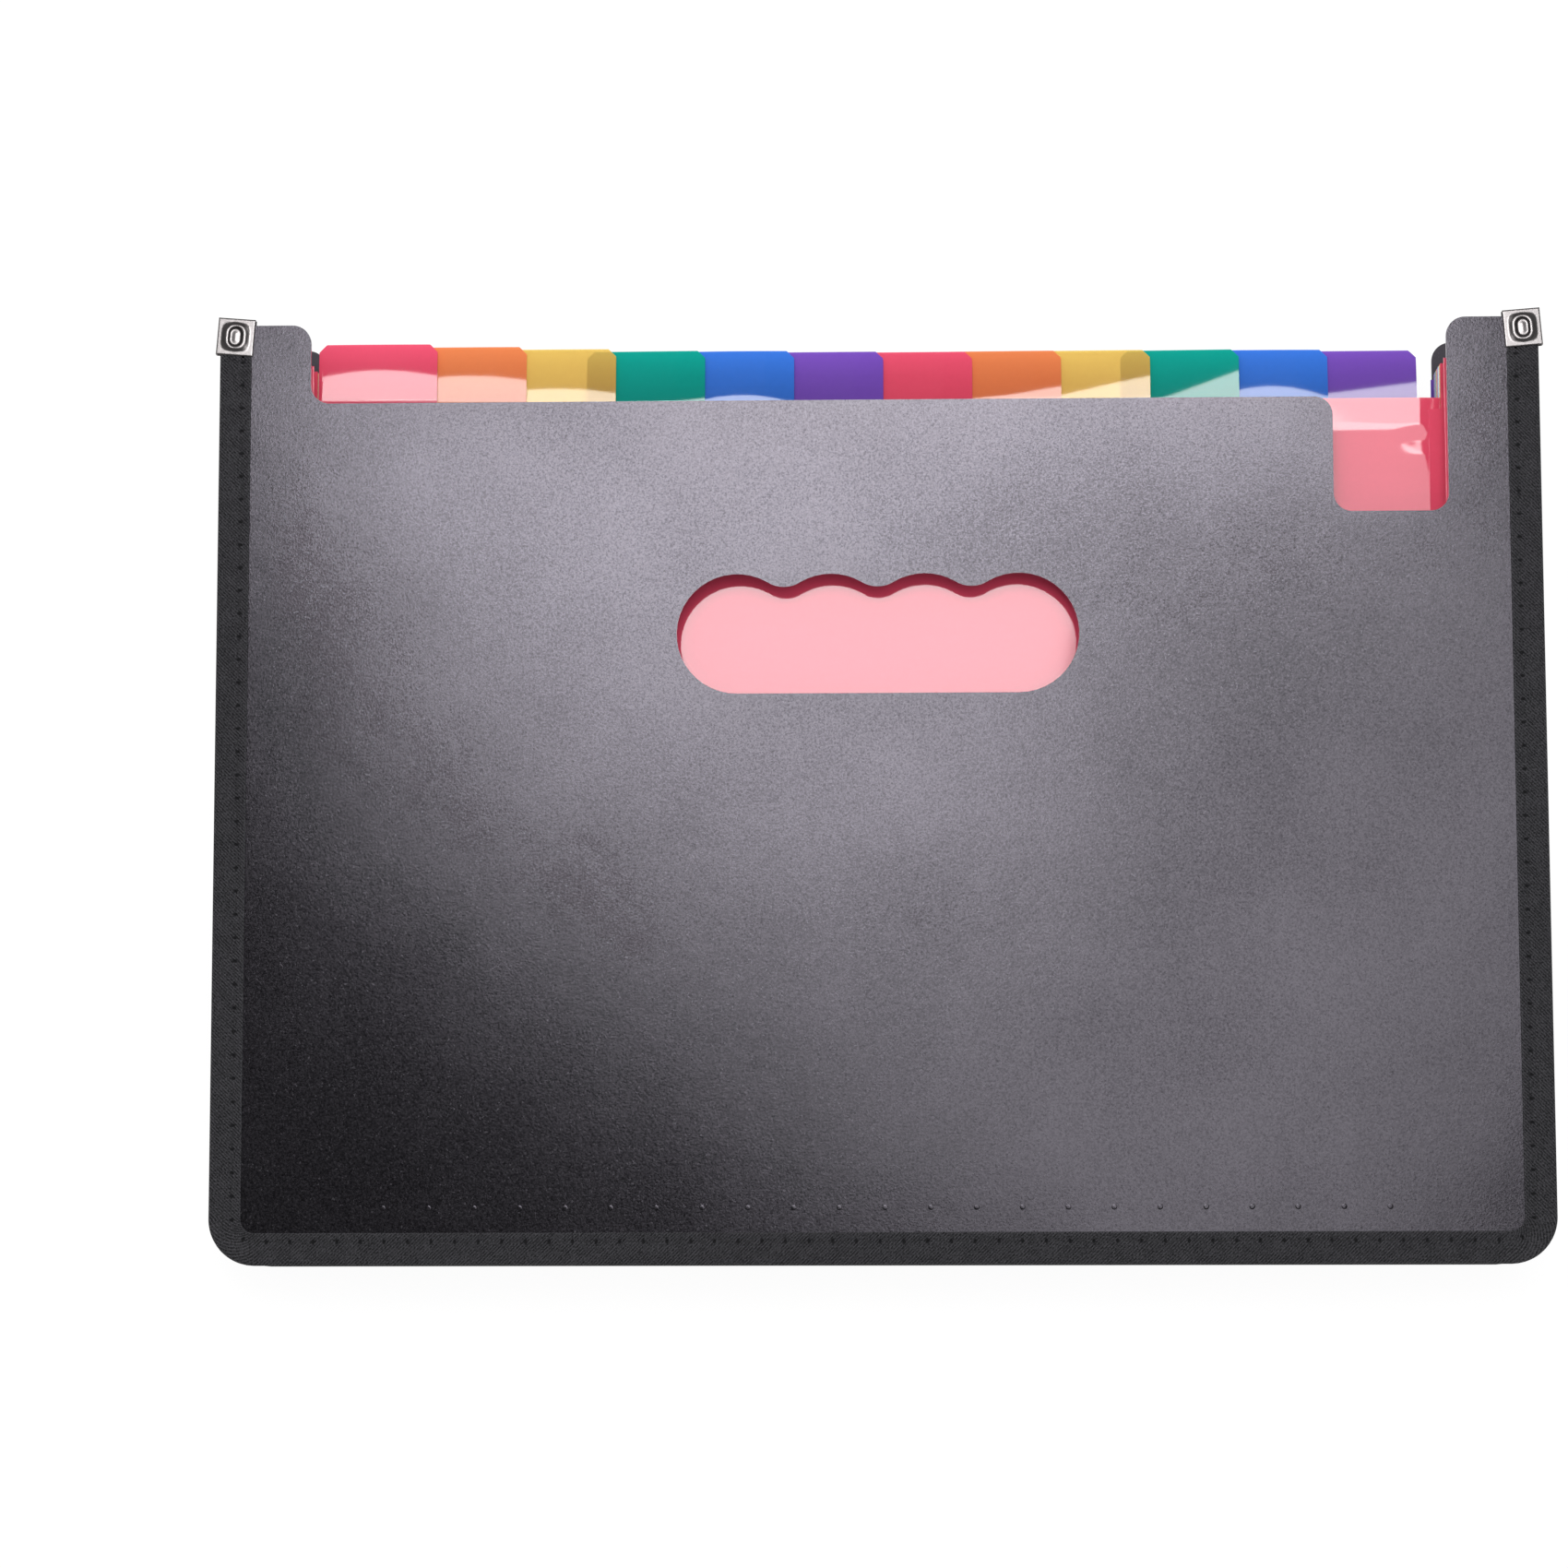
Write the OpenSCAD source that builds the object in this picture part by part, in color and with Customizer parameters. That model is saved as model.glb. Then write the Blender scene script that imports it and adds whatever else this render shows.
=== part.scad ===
// Expanding file folder, lying closed on its back cover.
// X runs along the width, Y from the bottom edge up to the tabs, Z through the thickness.
// The two covers are one die cut, turned to face outwards on either side. Between them hang
// tabbed dividers, joined to each other and to the covers by one pleated gusset a pocket.

/* [Overall] */
// Width over the outer sides of the edging
body_w = 330; // [290:1:370]
// Height from the bottom of the edging to the top of the ears
body_h = 235; // [210:1:270]
// Thickness of the closed folder over the edging of both covers
body_t = 32; // [28:0.5:48]

/* [Covers] */
// Thickness of a cover sheet
cover_t = 1; // [0.6:0.1:1.5]
// Radius of the bottom corners over the edging
corner_r = 11.5; // [9:0.5:20]
// Width of an ear from the edging's outer side
ear_w = 23; // [18:0.5:32]
// Height of the ears above the lowered top edge
ear_drop = 20; // [12:0.5:28]
// Radius of the ears' inner corners and of the fillet below them
ear_r = 4.8; // [2:0.1:6]

/* [Thumb notch] */
// Width of the thumb notch, which lies beside the right ear
notch_w = 28.5; // [20:0.5:40]
// Depth of the thumb notch below the lowered top edge
notch_h = 29; // [15:0.5:40]
// Radius of the thumb notch's corners
notch_r = 4.5; // [2:0.1:7]

/* [Handle] */
// Width of the handle cut-out
handle_w = 100; // [80:1:120]
// Height of the handle cut-out, and the diameter of each finger lobe
handle_h = 30; // [24:0.5:36]
// Height of the handle's middle above the bottom edge
handle_up = 156; // [120:1:170]
// Number of finger lobes along the handle's upper side
finger_lobes = 4; // [3:1:5]
// Radius that blends one finger lobe into the next
finger_blend_r = 7.5; // [4:0.5:12]

/* [Edging and seam] */
// Width of the ribbon on each face of a cover
ribbon_w = 8; // [7:0.5:12]
// Thickness of the woven ribbon
ribbon_t = 0.5; // [0.45:0.05:0.7]
// Distance of the seam from the ribbon's inner edge
seam_inset = 2.2; // [1.5:0.1:3]
// Distance from one stitch to the next
stitch_pitch = 5.8; // [4:0.2:10]
// Visible length of a stitch
stitch_len = 4; // [2:0.2:5]
// Width of the thread
stitch_w = 0.6; // [0.3:0.05:0.8]
// Thickness of the thread above the ribbon
stitch_t = 0.2; // [0.1:0.05:0.25]

/* [Clips] */
// Width of a clip across the ribbon
clip_w = 9.4; // [8.5:0.1:12]
// Height of a clip along the ribbon
clip_h = 9.4; // [6:0.1:12]
// Thickness of the clip's sheet metal
clip_t = 0.35; // [0.2:0.05:0.4]
// Height of a clip's outer corner above the ear
clip_rise = 2.1; // [1.6:0.1:3]
// Angle by which a clip leans inwards
clip_lean = 4.5; // [0:0.5:8]
// Height of the pad stamped up in a front clip
pad_rise = 0.35; // [0.1:0.05:0.6]
// Width of the oval ring on a clip
ring_w = 4.8; // [3:0.1:6]
// Height of the oval ring on a clip
ring_h = 6; // [5:0.1:7]
// Width of the ring's band
ring_band = 1.1; // [0.6:0.1:1.4]
// Height of the ring above the pad, and its depth where it is sunk in a back clip
ring_rise = 0.25; // [0.1:0.05:0.3]

/* [Dividers] */
// Number of dividers, one less than the pockets
dividers = 12; // [6:1:13]
// Thickness of a divider sheet
divider_t = 0.3; // [0.2:0.05:0.4]
// Distance from one divider to the next in the closed folder
divider_pitch = 1; // [1:0.05:1.3]
// Height of the dividers' top edge above the covers' lowered edge
divider_rise = 1.5; // [0.5:0.5:4]
// Width of a tab
tab_w = 30; // [20:1:40]
// Height of a tab above its divider
tab_h = 15; // [10:0.5:18]
// Size of the cut corners of a tab
tab_cut = 2; // [1:0.25:4]
// Room for a paper label in a tab's sleeve
label_gap = 0.15; // [0.1:0.05:0.2]
// Thickness of the sleeve folded over a tab
sleeve_t = 0.2; // [0.1:0.05:0.25]

/* [Gussets] */
// Thickness of the gusset sheet and of the end leaves
leaf_t = 0.25; // [0.15:0.05:0.3]
// Width of a gusset's leaf at the sides
side_leaf = 18.5; // [12:0.5:25]
// Width of a gusset's leaf along the bottom
bottom_leaf = 9; // [6:0.5:14]
// Room between the side pleats and the edging's outer side
side_room = 5; // [3:0.5:8]
// Room between the bottom pleats and the edging's bottom
bottom_room = 4; // [2.5:0.5:8]
// Width of the strip by which a leaf is welded on
weld_w = 3; // [2:0.5:5]
// Distance of the gussets' top ends below the top of the ears
leaf_drop = 10; // [7:0.5:16]

/* [Hidden] */
$fn = 48;
// Overrun of every cut past the face that it opens
cut = 0.5;
// Overlap of a finger lobe and its blend, so that they cross in a clean edge
blend_lap = 0.01;
// Least radius left at an inner corner of the edging
least_r = 0.5;

low_h = body_h - ear_drop;
ear_x = body_w / 2 - ear_w;
pack_t = cover_t + leaf_t + 2 * ribbon_t;
// Distance that a clip lies below the ribbon's faces
clip_sink = 0.05;
crimp_t = clip_t + clip_sink;
// Height of the ribbon's ends above the ears, inside the clips
ribbon_rise = 1.1;
ribbon_top = body_h + ribbon_rise;
clip_top = body_h + clip_rise;
frame_h = clip_top + clip_t * sin(clip_lean);
// Width of the border between a clip's edge and its stamped pad
pad_border = 0.9;

seam_in = ribbon_w - seam_inset;
groove_room = 0.15;
groove_w = stitch_w + 2 * groove_room;
groove_t = stitch_t + clip_sink;
corner_stitch_share = 0.6;

crease_x = body_w / 2 - side_room - side_leaf;
crease_h = bottom_room + bottom_leaf;
leaf_top = body_h - leaf_drop;
divider_top = low_h + divider_rise;
weld_top = low_h - divider_rise;
// Height at which the weld on a cover ends, clear of the thumb notch
notch_foot = low_h - notch_h - weld_w;
pockets = dividers + 1;
ridge_pitch = (body_t - 2 * pack_t) / pockets;
stack_t = (dividers - 1) * divider_pitch + divider_t;
// Distance that the end leaf's edge lies back under the ears
leaf_tuck = 0.5;
front_leaf_z = body_t - pack_t + ribbon_t;
back_leaf_z = pack_t - ribbon_t;
// Height of the fold at a tab's top and of the weld at its foot
tab_fold = 0.6;
tab_weld = 1.5;
// Room between the tabs and the creases
tab_room = 0.2;
// Room beyond the last tab
tab_end = 4.3;
tab_step = (2 * crease_x - 2 * tab_room - tab_w - tab_end) / (dividers - 1);

sheet_colours = ["crimson", "darkorange", "gold", "teal", "royalblue", "rebeccapurple"];

function two_digits(k) = k < 10 ? str("0", k) : str(k);
function divider_name(k) = str("divider_", two_digits(k));
function gusset_name(k) = str("gusset_", two_digits(k));

// Top face of divider k, counted from the front
function divider_z(k) = (body_t + stack_t) / 2 - (k - 1) * divider_pitch;
// Middle of the outer fold of gusset k
function ridge_z(k) = body_t - pack_t - (k - 0.5) * ridge_pitch;
// Face that the lower leaf of gusset k is welded to
function leaf_floor(k) = k > dividers ? back_leaf_z : divider_z(k);
// Face that the upper leaf of gusset k is welded to
function leaf_ceiling(k) = k == 1 ? front_leaf_z : divider_z(k - 1) - divider_t;
function sheet_colour(k) = sheet_colours[(k - 1) % len(sheet_colours)];

// Puts a cover's piece, drawn from outside with its outer face at zero, on the front
module on_front() {
    translate([0, -frame_h / 2, body_t])
        children();
}

// Puts the same piece on the back, turned round to face down
module on_back() {
    translate([0, -frame_h / 2, 0])
        rotate([0, 180, 0])
            children();
}

// Sheet with round bottom corners, set in from the edging's outline, up to a height
module rounded_sheet(inset, top) {
    r = max(corner_r - inset, least_r);
    half = body_w / 2 - inset;
    translate([-half, inset + r])
        square([2 * half, top - inset - r]);
    translate([-half + r, inset])
        square([2 * (half - r), r]);
    for (side = [-1, 1])
        translate([side * (half - r), inset + r])
            circle(r);
}

// Fills the inner corner between two edges that run along +X and +Y
module inner_fillet(r) {
    difference() {
        square(r);
        translate([r, r])
            circle(r);
    }
}

// Ear on the right side, with its inner upper corner rounded
module ear() {
    outer = body_w / 2 - ribbon_t;
    translate([ear_x, low_h - ear_r])
        square([outer - ear_x, ear_drop]);
    translate([ear_x + ear_r, low_h])
        square([outer - ear_x - ear_r, ear_drop]);
    translate([ear_x + ear_r, body_h - ear_r])
        circle(ear_r);
}

// Slot with round ends, a flat lower side and finger lobes blended along its upper side
module handle_slot() {
    lobe_r = handle_h / 2;
    lobe_step = (handle_w - handle_h) / (finger_lobes - 1);
    reach = lobe_r + finger_blend_r;
    blend_up = sqrt(reach * reach - lobe_step * lobe_step / 4);
    first_x = -(handle_w - handle_h) / 2;
    difference() {
        union() {
            translate([first_x, -lobe_r])
                square([handle_w - handle_h, lobe_r + blend_up * lobe_r / reach]);
            for (i = [0:finger_lobes - 1])
                translate([first_x + i * lobe_step, 0])
                    circle(lobe_r);
        }
        for (i = [0:finger_lobes - 2])
            translate([first_x + (i + 0.5) * lobe_step, blend_up])
                circle(finger_blend_r + blend_lap);
    }
}

// Thumb notch, with round lower corners and its free upper corner rounded outwards
module thumb_notch() {
    translate([ear_x - notch_w, low_h - notch_h + notch_r])
        square([notch_w, notch_h - notch_r + cut]);
    translate([ear_x - notch_w + notch_r, low_h - notch_h])
        square([notch_w - 2 * notch_r, notch_r]);
    for (x = [ear_x - notch_w + notch_r, ear_x - notch_r])
        translate([x, low_h - notch_h + notch_r])
            circle(notch_r);
    translate([ear_x - notch_w, low_h])
        rotate(180)
            inner_fillet(notch_r);
}

module cover_outline() {
    difference() {
        union() {
            rounded_sheet(ribbon_t, low_h);
            ear();
            mirror([1, 0])
                ear();
            translate([-ear_x, low_h])
                inner_fillet(ear_r);
        }
        thumb_notch();
        translate([0, handle_up])
            handle_slot();
    }
}

module cover() {
    translate([0, 0, -ribbon_t - cover_t])
        linear_extrude(cover_t)
            cover_outline();
}

// Places what is drawn for the right clip, from its outer upper corner
module at_clip() {
    translate([body_w / 2, clip_top])
        rotate(clip_lean)
            children();
}

// Footprint of the right clip, grown upwards and outwards by an overrun
module clip_footprint(overrun) {
    at_clip()
        translate([-clip_w + clip_t, -clip_h])
            square([clip_w + overrun, clip_h + overrun]);
}

module ring_oval(w, h) {
    square([w, h - w], center = true);
    for (side = [-1, 1])
        translate([0, side * (h - w) / 2])
            circle(w / 2);
}

// Oval ring in the middle of the right clip
module clip_ring() {
    at_clip()
        translate([-clip_w / 2 + clip_t, -clip_h / 2])
            difference() {
                ring_oval(ring_w, ring_h);
                ring_oval(ring_w - 2 * ring_band, ring_h - 2 * ring_band);
            }
}

// Sheet metal folded round the ribbon's end: two plates and the wall that joins them
module clip_body() {
    translate([0, 0, -crimp_t])
        linear_extrude(clip_t)
            clip_footprint(0);
    translate([0, 0, clip_sink - pack_t])
        linear_extrude(clip_t)
            clip_footprint(0);
    translate([0, 0, clip_sink - pack_t])
        linear_extrude(pack_t - 2 * clip_sink)
            at_clip()
                translate([0, -clip_h])
                    square([clip_t, clip_h]);
}

// Clip with a pad and a ring stamped up, as on the front
module raised_clip() {
    clip_body();
    translate([0, 0, -clip_sink])
        linear_extrude(pad_rise)
            at_clip()
                translate([-clip_w + clip_t + pad_border, pad_border - clip_h])
                    square([clip_w - 2 * pad_border, clip_h - 2 * pad_border]);
    translate([0, 0, pad_rise - clip_sink])
        linear_extrude(ring_rise)
            clip_ring();
}

// Clip pressed flat, with its ring sunk, so that the folder lies level
module flat_clip() {
    difference() {
        clip_body();
        translate([0, 0, -clip_sink - ring_rise])
            linear_extrude(ring_rise + cut)
                clip_ring();
    }
}

// Groove that the seam draws into the ribbon's outer face
module seam_groove() {
    translate([0, 0, -groove_t])
        linear_extrude(groove_t + cut)
            difference() {
                rounded_sheet(seam_in - groove_w / 2, ribbon_top + cut);
                rounded_sheet(seam_in + groove_w / 2, ribbon_top + 2 * cut);
            }
}

// Ribbon folded round the cover and the end leaf, crimped thin under the clips
module edging() {
    difference() {
        translate([0, 0, -pack_t])
            linear_extrude(pack_t)
                rounded_sheet(0, ribbon_top);
        translate([0, 0, ribbon_t - pack_t])
            linear_extrude(cover_t + leaf_t)
                rounded_sheet(ribbon_t, ribbon_top + cut);
        translate([0, 0, -pack_t - cut])
            linear_extrude(pack_t + 2 * cut)
                rounded_sheet(ribbon_w, ribbon_top + cut);
        for (side = [0, 1])
            mirror([side, 0, 0]) {
                translate([0, 0, -crimp_t])
                    linear_extrude(crimp_t + cut)
                        clip_footprint(cut);
                translate([0, 0, -pack_t - cut])
                    linear_extrude(crimp_t + cut)
                        clip_footprint(cut);
            }
        seam_groove();
    }
}

module stitch(length) {
    translate([0, 0, stitch_t / 2 - groove_t])
        cube([stitch_w, length, stitch_t], center = true);
}

// Stitches along the right side and round its bottom corner
module side_stitches() {
    seam_r = corner_r - seam_in;
    run = clip_top - clip_h - corner_r;
    count = floor(run / stitch_pitch);
    for (i = [0:count - 1])
        translate([body_w / 2 - seam_in, corner_r + (i + 0.5) * stitch_pitch, 0])
            stitch(stitch_len);
    if (seam_r > stitch_len)
        for (angle = [-30, -60])
            translate([body_w / 2 - corner_r, corner_r, 0])
                rotate(angle)
                    translate([seam_r, 0, 0])
                        stitch(stitch_len * corner_stitch_share);
}

module seam_thread() {
    run = body_w - 2 * corner_r;
    count = floor(run / stitch_pitch);
    for (side = [0, 1])
        mirror([side, 0, 0])
            side_stitches();
    for (i = [0:count - 1])
        translate([(i - (count - 1) / 2) * stitch_pitch, seam_in, 0])
            rotate(90)
                stitch(stitch_len);
}

// Flat leaf at the end of the bellows, under the cover and caught in its edging. Beside the
// thumb notch it is tucked back under the ear.
module end_leaf() {
    inner_x = crease_x - weld_w;
    translate([0, 0, ribbon_t - pack_t])
        linear_extrude(leaf_t)
            difference() {
                rounded_sheet(ribbon_t, leaf_top);
                translate([-inner_x, crease_h + weld_w])
                    square([2 * inner_x, leaf_top]);
                translate([-ear_x - leaf_tuck, notch_foot])
                    square([2 * (ear_x + leaf_tuck), leaf_top]);
            }
}

function tab_points(w, h, corner) =
    [[0, 0], [w, 0], [w, h - corner], [w - corner, h], [corner, h], [0, h - corner]];

// Label sleeve: the tab, its top folded to the front and welded down at its foot
module tab(k) {
    sleeve_z = divider_t + label_gap;
    translate([tab_room - crease_x + (k - 1) * tab_step, divider_top, divider_z(k) - divider_t]) {
        linear_extrude(divider_t)
            polygon(tab_points(tab_w, tab_h, tab_cut));
        translate([0, 0, sleeve_z])
            linear_extrude(sleeve_t)
                polygon(tab_points(tab_w, tab_h, tab_cut));
        linear_extrude(sleeve_z + sleeve_t)
            intersection() {
                polygon(tab_points(tab_w, tab_h, tab_cut));
                translate([0, tab_h - tab_fold])
                    square([tab_w, tab_fold]);
            }
        cube([tab_w, tab_weld, sleeve_z]);
    }
}

module divider(k) {
    color(sheet_colour(k))
        translate([0, -frame_h / 2, 0]) {
            translate([-crease_x, crease_h, divider_z(k) - divider_t])
                cube([2 * crease_x, divider_top - crease_h, divider_t]);
            tab(k);
        }
}

// U-shaped strip along the creases, up to a height, by which a leaf is welded to its sheet
module weld_strip(top) {
    linear_extrude(leaf_t)
        difference() {
            translate([-crease_x, crease_h])
                square([2 * crease_x, top - crease_h]);
            translate([weld_w - crease_x, crease_h + weld_w])
                square([2 * (crease_x - weld_w), top]);
        }
}

// Section of pleat k, as [share of the leaf's width, height]: two leaves and their outer fold
function pleat_section(k) = [
    [0, leaf_floor(k)],
    [1, ridge_z(k) - leaf_t],
    [1 + leaf_t / side_leaf, ridge_z(k)],
    [1, ridge_z(k) + leaf_t],
    [0, leaf_ceiling(k)],
    [0, leaf_ceiling(k) - leaf_t],
    [1 - 2 * leaf_t / side_leaf, ridge_z(k)],
    [0, leaf_floor(k) + leaf_t]
];

// The section carried down the left side, along the bottom and up the right side
module pleat(k) {
    section = pleat_section(k);
    n = len(section);
    stations = [[-1, true], [-1, false], [1, false], [1, true]];
    points = [
        for (station = stations)
            for (p = section)
                [
                    station[0] * (crease_x + p[0] * side_leaf),
                    station[1] ? leaf_top : crease_h - p[0] * bottom_leaf,
                    p[1]
                ]
    ];
    walls = [
        for (j = [0:len(stations) - 2])
            for (i = [0:n - 1])
                [j * n + i, j * n + (i + 1) % n, (j + 1) * n + (i + 1) % n, (j + 1) * n + i]
    ];
    // An end face in three convex parts: the lower leaf, the fold and the upper leaf
    end_parts = [[0, 1, 6, 7], [1, 2, 3, 6], [3, 4, 5, 6]];
    first_end = [for (f = end_parts) [for (i = [3:-1:0]) f[i]]];
    last_end = [for (f = end_parts) [for (i = f) (len(stations) - 1) * n + i]];
    polyhedron(points, concat(walls, first_end, last_end));
}

module gusset(k) {
    color(sheet_colour(min(k, dividers)))
        translate([0, -frame_h / 2, 0]) {
            pleat(k);
            translate([0, 0, leaf_floor(k)])
                weld_strip(k == pockets ? notch_foot : weld_top);
            translate([0, 0, leaf_ceiling(k) - leaf_t])
                weld_strip(k == 1 ? notch_foot : weld_top);
        }
}

module front_cover() {
    color("dimgray")
        on_front()
            cover();
}

module back_cover() {
    color("dimgray")
        on_back()
            cover();
}

module front_edging() {
    color("black")
        on_front()
            edging();
}

module back_edging() {
    color("black")
        on_back()
            edging();
}

module front_seam_thread() {
    color("darkslategray")
        on_front()
            seam_thread();
}

module back_seam_thread() {
    color("darkslategray")
        on_back()
            seam_thread();
}

module front_end_leaf() {
    color(sheet_colour(1))
        on_front()
            end_leaf();
}

module back_end_leaf() {
    color(sheet_colour(dividers))
        on_back()
            end_leaf();
}

module front_clip_right() {
    color("silver")
        on_front()
            raised_clip();
}

module front_clip_left() {
    color("silver")
        on_front()
            mirror([1, 0, 0])
                raised_clip();
}

module back_clip_right() {
    color("silver")
        on_back()
            mirror([1, 0, 0])
                flat_clip();
}

module back_clip_left() {
    color("silver")
        on_back()
            flat_clip();
}

front_cover();
back_cover();
front_edging();
back_edging();
front_seam_thread();
back_seam_thread();
front_end_leaf();
back_end_leaf();
front_clip_left();
front_clip_right();
back_clip_left();
back_clip_right();
for (k = [1:dividers])
    divider(k);
for (k = [1:pockets])
    gusset(k);
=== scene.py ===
import math

import bpy
import numpy as np
from mathutils import Euler, Matrix, Vector


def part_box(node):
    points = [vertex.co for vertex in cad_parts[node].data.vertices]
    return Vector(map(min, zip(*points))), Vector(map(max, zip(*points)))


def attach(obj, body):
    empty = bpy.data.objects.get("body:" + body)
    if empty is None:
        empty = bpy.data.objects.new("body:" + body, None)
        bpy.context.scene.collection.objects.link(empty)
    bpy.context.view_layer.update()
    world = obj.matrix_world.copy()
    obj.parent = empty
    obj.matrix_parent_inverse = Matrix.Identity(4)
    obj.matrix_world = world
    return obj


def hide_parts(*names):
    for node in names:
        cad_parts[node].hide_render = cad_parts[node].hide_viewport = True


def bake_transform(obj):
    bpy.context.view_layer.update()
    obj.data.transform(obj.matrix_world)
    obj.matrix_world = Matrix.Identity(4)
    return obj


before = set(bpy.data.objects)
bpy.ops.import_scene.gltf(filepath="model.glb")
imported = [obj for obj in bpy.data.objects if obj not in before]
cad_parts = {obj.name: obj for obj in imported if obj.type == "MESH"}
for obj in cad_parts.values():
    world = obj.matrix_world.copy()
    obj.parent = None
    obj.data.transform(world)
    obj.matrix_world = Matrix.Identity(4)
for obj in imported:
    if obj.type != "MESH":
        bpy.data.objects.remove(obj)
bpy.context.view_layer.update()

# ----------------------------------------------------------
# Sizes in millimetres, where no other unit is given. A point is (x, height above the
# folder's bottom edge, z).
# ----------------------------------------------------------
MM = 0.001
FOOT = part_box("front_edging")[0].y

HALF_W = 165
FOLDER_T = 32
CORNER_R = 11.5
PACK_T = 2.25  # a cover with its ribbon on both faces
COVER_IN = 1.5  # a cover's inner face, in from the outer face of its ribbon

RIBBON_W = 8
RIBBON_T = 0.5
RIBBON_TOP = 236.1
SEAM_IN = 5.8
SEAM_GROOVE = 0.14
HOLE_DEPTH = 0.2
HOLE_R = 0.75
STITCHES = 130
SEAM_TOP = 225.5  # the needle hole at each end of the seam
STITCH_L = 4.9
STITCH_W = 0.55
STITCH_T = 0.2
STITCH_SINK = 0.08
RIB = 0.9  # from rib to rib of the weave
PICK = 0.6  # from thread to thread across the ribs
CRIMP = 0.43  # how far a clip presses the ribbon in
CRIMP_FROM = 225.6
CRIMP_FULL = 226.9

CLIP = 9.4
CLIP_T = 0.35
CLIP_SINK = 0.05
CLIP_TOP = 237.1
CLIP_LEAN = 4.5  # degrees

DOTS = 23
DOT_PITCH = 11.2
DOT_W = 1.4
DOT_T = 0.1
DOT_ROW = (1.2, 14)  # middle of the row of weld spots

DIVIDERS = 12
CREASE_X = 141.5
CREASE_H = 13
SHEET_T = 0.3
SHEET_TOP = 216.5
SHEET_STEP = 7  # between the columns of a sheet's mesh
MARK_FROM = 125  # from here on the first sheet's columns are close together
TAB_W = 30
TAB_TOP = 231.5
TAB_CUT = 2  # cut off a tab's corners
TAB_ROOM = 0.2
TAB_END = 4.3  # room beside the last tab
TAB_STEP = (2 * CREASE_X - 2 * TAB_ROOM - TAB_W - TAB_END) / (DIVIDERS - 1)
SLEEVE_GAP = 0.15
SLEEVE_T = 0.2

LEAF_T = 0.25
SIDE_RUN = 18.5
FOOT_RUN = 9
LEAF_TOP = 225
WELD_W = 3
WELD_TOP = 213.5
NOTCH_FOOT = 183
STRIP_LIFT = 0.1  # share of the pocket's room
RIDGE_STEP = (FOLDER_T - 2 * PACK_T) / (DIVIDERS + 1)

FILM_GLOSS = 0.055  # share of the light that film mirrors

HUES = ["red", "orange", "yellow", "green", "blue", "purple"]


def place(x, height, z):
    """A point of the folder, in metres in the frame."""
    return (x * MM, FOOT + height * MM, z * MM)


def on_front():
    """Carries what is drawn on a cover seen from outside to the front cover."""
    return Matrix.Translation(place(0, 0, FOLDER_T))


def on_back():
    """Carries the same drawing to the back cover, turned round to face down."""
    return Matrix.Translation(place(0, 0, 0)) @ Matrix.Rotation(math.pi, 4, "Y")


def smooth(t):
    """0 up to 0, 1 from 1 on and smooth between them."""
    t = min(max(t, 0.0), 1.0)
    return t * t * (3 - 2 * t)


def sheet_z(k):
    """Top face of divider k at rest."""
    return (FOLDER_T + (DIVIDERS - 1) + SHEET_T) / 2 - (k - 1)


# ----------------------------------------------------------
# Camera, as the folder lies in the photograph
# ----------------------------------------------------------
FOCAL_LENGTH = 4691.7 / 1700  # over the width of the picture

camera_data = bpy.data.cameras.new("camera")
camera_data.sensor_width = 36
camera_data.lens = FOCAL_LENGTH * camera_data.sensor_width
camera_data.clip_end = 20
camera = bpy.data.objects.new("camera", camera_data)
camera.location = (0.00625, -0.12433, 1.09494)
camera.rotation_euler = (0.1161, 0.028, -0.0015)
bpy.context.scene.collection.objects.link(camera)
bpy.context.scene.camera = camera


# ----------------------------------------------------------
# Node trees
# ----------------------------------------------------------
class Value:
    """A socket that gives numbers. Sums written on it add Math nodes to its tree."""

    def __init__(self, graph, link):
        self.graph, self.link = graph, link

    def math(self, operation, *terms):
        return self.graph.node(
            "ShaderNodeMath", {"operation": operation}, dict(enumerate(terms))
        )

    def __add__(self, other):
        return self.math("ADD", self, other)

    def __sub__(self, other):
        return self.math("SUBTRACT", self, other)

    def __rsub__(self, other):
        return self.math("SUBTRACT", other, self)

    def __mul__(self, other):
        return self.math("MULTIPLY", self, other)

    def __truediv__(self, other):
        return self.math("DIVIDE", self, other)

    def __mod__(self, other):
        return self.math("FLOORED_MODULO", self, other)

    __radd__ = __add__

    def __abs__(self):
        return self.math("ABSOLUTE", self)

    def sine(self):
        return self.math("SINE", self)

    def least(self, other):
        return self.math("MINIMUM", self, other)

    def most(self, other):
        return self.math("MAXIMUM", self, other)

    def step(self, low, high):
        """0 below low, 1 above high and smooth between them."""
        return self.graph.node(
            "ShaderNodeMapRange",
            {"interpolation_type": "SMOOTHSTEP", "clamp": True},
            {"Value": self, "From Min": low, "From Max": high},
        )


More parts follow.
